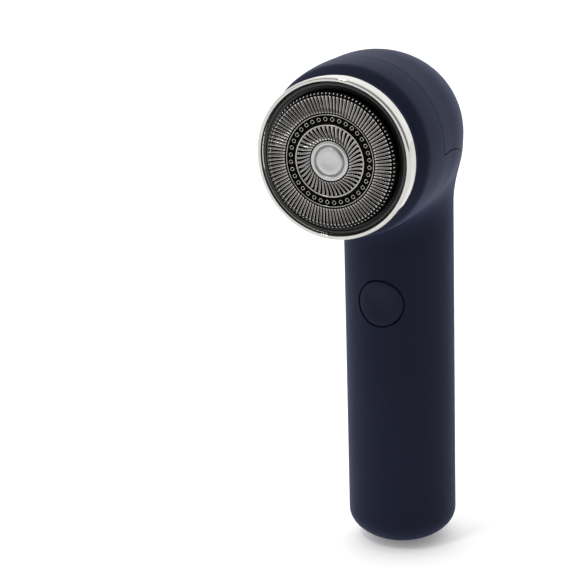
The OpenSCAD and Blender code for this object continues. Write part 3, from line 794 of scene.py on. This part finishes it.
foilR = 18.3
holder = {
    "innerR": 18.9,
    "plugR": 20.35,            # the part that plugs into the casing's bore
    "sealR": 19.75,            # floor of the seal's groove
    "sealFrom": 37.6,
    "sealTo": 38.9,
    "ringR": 20.52,            # seat of the chrome ring
    "ringBack": 42.55,
    "lipR": foilR + 0.09,      # lip that keeps the foil's flange behind it
    "lipBack": 44.4,
    "back": 36.2,
    "front": 46.25,
}


def holderProfile():
    # outline in front of and behind the lip, as rows of (radius, distance forward, rounding)
    h = holder
    front = h["front"]
    return rounded([(h["innerR"], h["back"], 0.2), (20.0, h["back"], 0.2), (h["plugR"], 36.6, 0.1),
                    (h["plugR"], h["sealFrom"], 0.08), (h["sealR"], h["sealFrom"], 0.08),
                    (h["sealR"], h["sealTo"], 0.08), (h["plugR"], h["sealTo"], 0.08),
                    (h["plugR"], h["ringBack"], 0.05), (h["ringR"], h["ringBack"], 0.03),
                    (h["ringR"], front - 0.15, 0.12), (20.2, front, 0.15), (19.75, front - 0.05, 0.1),
                    (19.6, front - 0.35, 0.1), (h["innerR"], front - 0.5, 0.1),
                    (h["lipR"], front - 0.75, 0.1), (h["lipR"], h["lipBack"], 0.05),
                    (h["innerR"], h["lipBack"], 0.05)], 4)


points, faces = turned(holderProfile(), 192)
makePiece("foilHolder", points, faces, "shaving_head", "black_plastic", blackAbs, "foil_holder")

# ---- slotted foil ----

foil = {
    "thick": 0.34,             # of a bar, from its lips to its back
    "outer": {"count": 103, "from": 13.0, "to": 17.5, "width": 0.50, "lag": 1.3, "hook": 0.9,
              "slope": 0.05, "beads": (0.10, 0.10)},
    "inner": {"count": 46, "from": 5.75, "to": 9.4, "width": 0.52, "lag": 10.5, "hook": 0.0,
              "slope": 0.0, "beads": (0.20, 0.0)},
    "holes": {"count": 36, "r": 11.3, "from": 10.42, "to": 12.15, "size": 0.34},
    "edge": {"count": 103, "r": 17.62, "back": 0.98, "reach": 0.66, "rise": 0.72, "from": 62, "to": 14,
             "lift": 0.16, "sunk": 0.06, "width": 0.2, "lead": 0.25},
    "flange": (43.4, 44.3),    # back and front of the flange behind the holder's lip
}


def slatTrack(slats):
    # bars between the slots. Along a bar t goes 0 to 1: radius from + (to - from) t, angle
    # lag t(2 - t) + hook t^8. Across it s goes -1 to 1: a raised lip at each side and a hollow between, which
    # the beads at both ends fill.
    t = np.array([0, 0.04, 0.10, 0.35, 0.65, 0.90, 0.96, 1])
    s = np.array([-1, -0.85, -0.35, 0.3, 0.8, 1, 1, -1])
    drop = np.array([0.12, 0, 0.12, 0.24, 0.09, 0.16, foil["thick"], foil["thick"]])
    turns = fullTurn*np.arange(slats["count"])/slats["count"]
    low, high = np.exp(-(t/0.06)**2), np.exp(-((1 - t)/0.06)**2)
    r = slats["from"] + (slats["to"] - slats["from"])*t
    angle = -np.radians(slats["lag"]*t*(2 - t) + slats["hook"]*t**8)
    width = slats["width"]*(1 + 0.1*(low + high))*(0.92 + 0.16*t)
    height = foilTrack - slats["slope"]*t + slats["beads"][0]*low + slats["beads"][1]*high
    fill = np.where(s == np.roll(s, -1), 1, 1 - 0.7*(low + high)[:, None])
    fill[:, -2:] = 1
    a = turns[:, None, None] + angle[:, None]
    r, side = r[:, None], width[:, None]*s/2
    x = r*np.sin(a) + side*np.cos(a)
    z = r*np.cos(a) - side*np.sin(a)
    y = -np.broadcast_to(height[:, None] - drop*fill, x.shape)
    points = np.stack([x, y, axisZ + z], -1)
    rows, cols = len(t), len(s)
    one = gridFaces(rows, cols, wrap=True)
    caps = np.array([[0, 1, 6, 7], [1, 2, 5, 6], [2, 3, 4, 5]])
    one = np.concatenate([one, caps[:, ::-1], caps + (rows - 1)*cols])
    one = outward(points[0].reshape(-1, 3), one)
    points = points.reshape(-1, 3)
    return points, repeated(points, one, slats["count"])


def edgeBeads():
    # short bars over the rounded edge: swept along an arc, radius r + reach cos b, height rise sin b - back,
    # with a crown that stands out along (cos b, sin b)
    e = foil["edge"]
    count = e["count"]
    bend = np.radians(np.linspace(e["from"], e["to"], 6))
    r, h = e["r"] + e["reach"]*np.cos(bend), foilTrack - e["back"] + e["rise"]*np.sin(bend)
    s = np.array([-1, -0.5, 0.5, 1])
    lift = np.array([0, e["lift"], e["lift"], 0]) - e["sunk"]
    shape = np.array([0.6, 1, 1, 1, 1, 0.6])*e["width"]
    turns = fullTurn*(np.arange(count) + e["lead"])/count
    out = r[:, None] + np.cos(bend)[:, None]*lift
    up = h[:, None] + np.sin(bend)[:, None]*lift
    side = shape[:, None]*s
    a = turns[:, None, None]
    x = out*np.sin(a) + side*np.cos(a)
    z = out*np.cos(a) - side*np.sin(a)
    points = np.stack([x, -np.broadcast_to(up, x.shape), axisZ + z], -1)
    rows, cols = len(bend), len(s)
    one = np.concatenate([gridFaces(rows, cols, wrap=True), [[3, 2, 1, 0]],
                          np.array([[0, 1, 2, 3]]) + (rows - 1)*cols])
    one = outward(points[0].reshape(-1, 3), one)
    points = points.reshape(-1, 3)
    return points, repeated(points, one, count)


def holedRing():
    # floor of the groove: each tile runs from its square border (angle u, radius v) to a round hole with a
    # raised lip, border (1 - t) + circle t
    holes = foil["holes"]
    count, side = holes["count"], 4
    edge = np.arange(-side, side)/side
    square = np.concatenate([np.stack([edge, -1 + 0*edge], 1), np.stack([1 + 0*edge, edge], 1),
                             np.stack([-edge, 1 + 0*edge], 1), np.stack([-1 + 0*edge, -edge], 1)])
    half = np.array([math.pi*holes["r"]/count, (holes["to"] - holes["from"])/2])
    border = square*half
    a = np.arctan2(border[:, 1], border[:, 0])
    circle = np.stack([np.cos(a), np.sin(a)], 1)
    size = np.array([0, 0.66, 0.58, 0.48, 0.40, holes["size"]])
    lift = np.array([0, 0, 0.30, 0.44, 0.40, 0.1])
    tile = np.concatenate([border[None], size[1:, None, None]*circle])
    turns = fullTurn*(np.arange(count) + 0.5)/count
    angle = turns[:, None, None] + tile[..., 0]/holes["r"]
    r = holes["from"] + half[1] + tile[..., 1]
    h = foilTrack - 0.5 + lift[:, None] + 0*r
    points = np.stack([r*np.sin(angle), -h + 0*angle, axisZ + r*np.cos(angle)], -1).reshape(-1, 3)
    one = gridFaces(len(size), len(border), wrap=True)
    points, faces = weld(points, repeated(points, one, count))
    points, faces = closed(points, points + np.array([0, 0.25, 0]), faces)
    return points, outward(points, faces)


def foilRings():
    # the seat under the disc, the ridge, the thin rib and the rounded edge band, each turned from its outline
    top, track = foilTop, foilTrack
    low, floor = track - foil["thick"], track - 0.5
    flangeBack, flangeFront = foil["flange"]
    seat = rounded([(1.5, low, 0), (1.5, track - 0.36, 0), (5.45, track - 0.36, 0.05),
                    (5.6, track - 0.22, 0.08), (5.9, track - 0.22, 0.06), (6.0, low, 0.05)], 3)
    ridge = rounded([(9.15, low, 0.05), (9.15, track - 0.28, 0.05), (9.42, track - 0.26, 0.03),
                     (9.5, top, 0.14), (9.82, top, 0.14), (9.95, floor + 0.04, 0.05),
                     (10.5, floor + 0.04, 0.05), (10.5, floor - 0.35, 0.05)], 5)
    rib = rounded([(12.05, floor - 0.35, 0.05), (12.05, floor + 0.04, 0.05), (12.32, floor + 0.04, 0.04),
                   (12.38, track - 0.02, 0.06), (12.54, track - 0.02, 0.06), (12.62, low + 0.06, 0.04),
                   (13.2, low + 0.06, 0.05), (13.25, low - 0.2, 0.05)], 4)
    band = rounded([(17.3, low - 0.15, 0), (17.3, track - 0.28, 0.05), (17.62, track - 0.28, 0.06),
                    (17.68, track - 0.42, 0.05), (17.95, track - 0.55, 0.2), (foilR - 0.04, track - 1.2, 0.3),
                    (foilR - 0.04, flangeFront, 0.05), (foilR + 0.45, flangeFront, 0.05),
                    (foilR + 0.45, flangeBack, 0.05), (foilR - 0.45, flangeBack, 0.05),
                    (foilR - 0.45, track - 1.3, 0.2)], 3)
    return joined([turned(line, 206) for line in (seat, ridge, rib, band)])


points, faces = joined([foilRings(), slatTrack(foil["outer"]), slatTrack(foil["inner"]), holedRing()])
makePiece("slottedFoil", points, faces, "foil_unit", "foil_steel", foilSteelPaintedShade, "foil")
makePiece("foilEdge", *edgeBeads(), "foil_unit", "foil_steel", litEdgeSteel)

# ---- disc in the foil's middle ----

disc = {
    "pegR": 1.45,              # peg on its back, and the peg's length
    "peg": 0.8,
    "groove": (3.9, 4.2, 0.34),    # radii of the groove's floor and its height above the disc's back
    "middle": 0.64,            # height of the dished middle
}
low = foilTrack - foil["thick"]
grooveFrom, grooveTo, grooveH = disc["groove"]
profile = rounded([(onAxis, low - disc["peg"], 0), (disc["pegR"], low - disc["peg"], 0.05),
                   (disc["pegR"], low, 0.05), (5.35, low, 0.05), (5.4, low + 0.46, 0.2),
                   (4.85, low + 0.62, 0.3), (4.42, low + 0.60, 0.15), (grooveTo, low + grooveH, 0.12),
                   (grooveFrom, low + grooveH, 0.12), (3.6, low + 0.80, 0.25), (2.6, low + 0.82, 0.5),
                   (1.2, low + 0.68, 0.8), (onAxis, low + disc["middle"], 0)], 4)
points, faces = turned(profile, 128)
makePiece("centreDisc", points, faces, "foil_unit", "cap_steel", turnedAluminium, "foil_center_cap")

# ---- spring behind the drive cup ----

springBox = nodeBox("drive_spring")
spring = {
    "turns": 3,
    "wire": 0.12,              # radius of the wire
    "steps": 24,               # along each turn
    "sides": 8,
    "travel": 1.2,             # how far the drive cup presses it together
}


def coilSpring():
    # a round wire along a helix: (R + wire cos b) round the axis by a, and h + wire sin b along it
    c = spring
    n = c["turns"]*c["steps"] + 1
    a = fullTurn*np.arange(n)[:, None]/c["steps"]
    b = fullTurn*np.arange(c["sides"])/c["sides"]
    r = springBox[1][0] - c["wire"] + c["wire"]*np.cos(b)
    start, end = springBox[1][1] - c["wire"], springBox[0][1] + c["wire"]
    y = start + (end - start)*np.linspace(0, 1, n)[:, None] + c["wire"]*np.sin(b)
    points = np.stack([r*np.cos(a), y, axisZ + r*np.sin(a)], -1).reshape(-1, 3)
    caps = np.array([[0, 1, 6, 7], [1, 2, 5, 6], [2, 3, 4, 5]])
    faces = np.concatenate([gridFaces(n, c["sides"], wrap=True), caps[:, ::-1], caps + (n - 1)*c["sides"]])
    return points, outward(points, faces)


piece = makePiece("driveSpring", *coilSpring(), "rotor", "spring_steel", springWire, "drive_spring")
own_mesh(piece)

# ---- floor and light ----

studio = {
    "floorSize": 8.0,          # metres from the middle to each side
    "floorTone": "#fbfbfb",
    "darkSide": 38.0,          # degrees to the right of the head's axis, where the surround is dimmest
    "front": 0.33,             # brightness of the surround there, and on the opposite side
    "back": 1.48,
    "boxAt": (-0.22, -0.50, 0.95),   # overhead softbox, metres; it faces the shaving head
    "boxSize": 0.11,
    "boxPower": 1.7,
}


def makeFloor():
    # a level square, z = 0
    t = np.linspace(-studio["floorSize"], studio["floorSize"], 9)/mm
    x, y = np.meshgrid(t, t)
    points = np.stack([x, y, 0*x], -1).reshape(-1, 3)
    mesh = bpy.data.meshes.new("floor")
    mesh.from_pydata((points*mm).tolist(), [], gridFaces(9, 9).tolist())
    floor = bpy.data.objects.new("floor", mesh)
    bpy.context.scene.collection.objects.link(floor)
    mesh.materials.append(makeMaterial("paperSweep", {
        "tones": (studio["floorTone"], "#fdfdfd"), "grain": 1.2, "depth": 0.01, "roughness": (0.7, 0.8),
        "sockets": {"Emission Color": (1, 1, 1, 1), "Emission Strength": 0.18}}))


def makeSurround():
    # an even white room that dims smoothly towards one side
    world = bpy.data.worlds.new("surround")
    bpy.context.scene.world = world
    world.use_nodes = True
    tree = world.node_tree
    tree.nodes.clear()
    a = math.radians(studio["darkSide"])
    where = addNode(tree, "ShaderNodeTexCoord").outputs["Generated"]
    along = addNode(tree, "ShaderNodeVectorMath", {1: (-math.sin(a), math.cos(a), 0.15)}, {0: where},
                    operation="DOT_PRODUCT").outputs["Value"]
    level = addNode(tree, "ShaderNodeMapRange",
                    {"From Min": -0.8, "From Max": 0.6, "To Min": studio["front"], "To Max": studio["back"]},
                    {"Value": along}, interpolation_type="SMOOTHSTEP").outputs["Result"]
    light = addNode(tree, "ShaderNodeBackground", {"Color": (1, 1, 1, 1)}, {"Strength": level})
    addNode(tree, "ShaderNodeOutputWorld", None, {"Surface": light.outputs["Background"]})


def makeSoftbox():
    # a small square softbox above and in front, which gives the foil's rounded edges their bright glints
    data = bpy.data.lights.new("softbox", "AREA")
    data.size = studio["boxSize"]
    data.energy = studio["boxPower"]
    box = bpy.data.objects.new("softbox", data)
    box.location = studio["boxAt"]
    aim = Vector((0, -45*mm, axisZ*mm)) - Vector(studio["boxAt"])
    box.rotation_euler = aim.to_track_quat("-Z", "Y").to_euler()
    bpy.context.scene.collection.objects.link(box)


makeFloor()
makeSurround()
makeSoftbox()
bpy.context.scene.view_settings.view_transform = "Standard"
print("floor and light made")
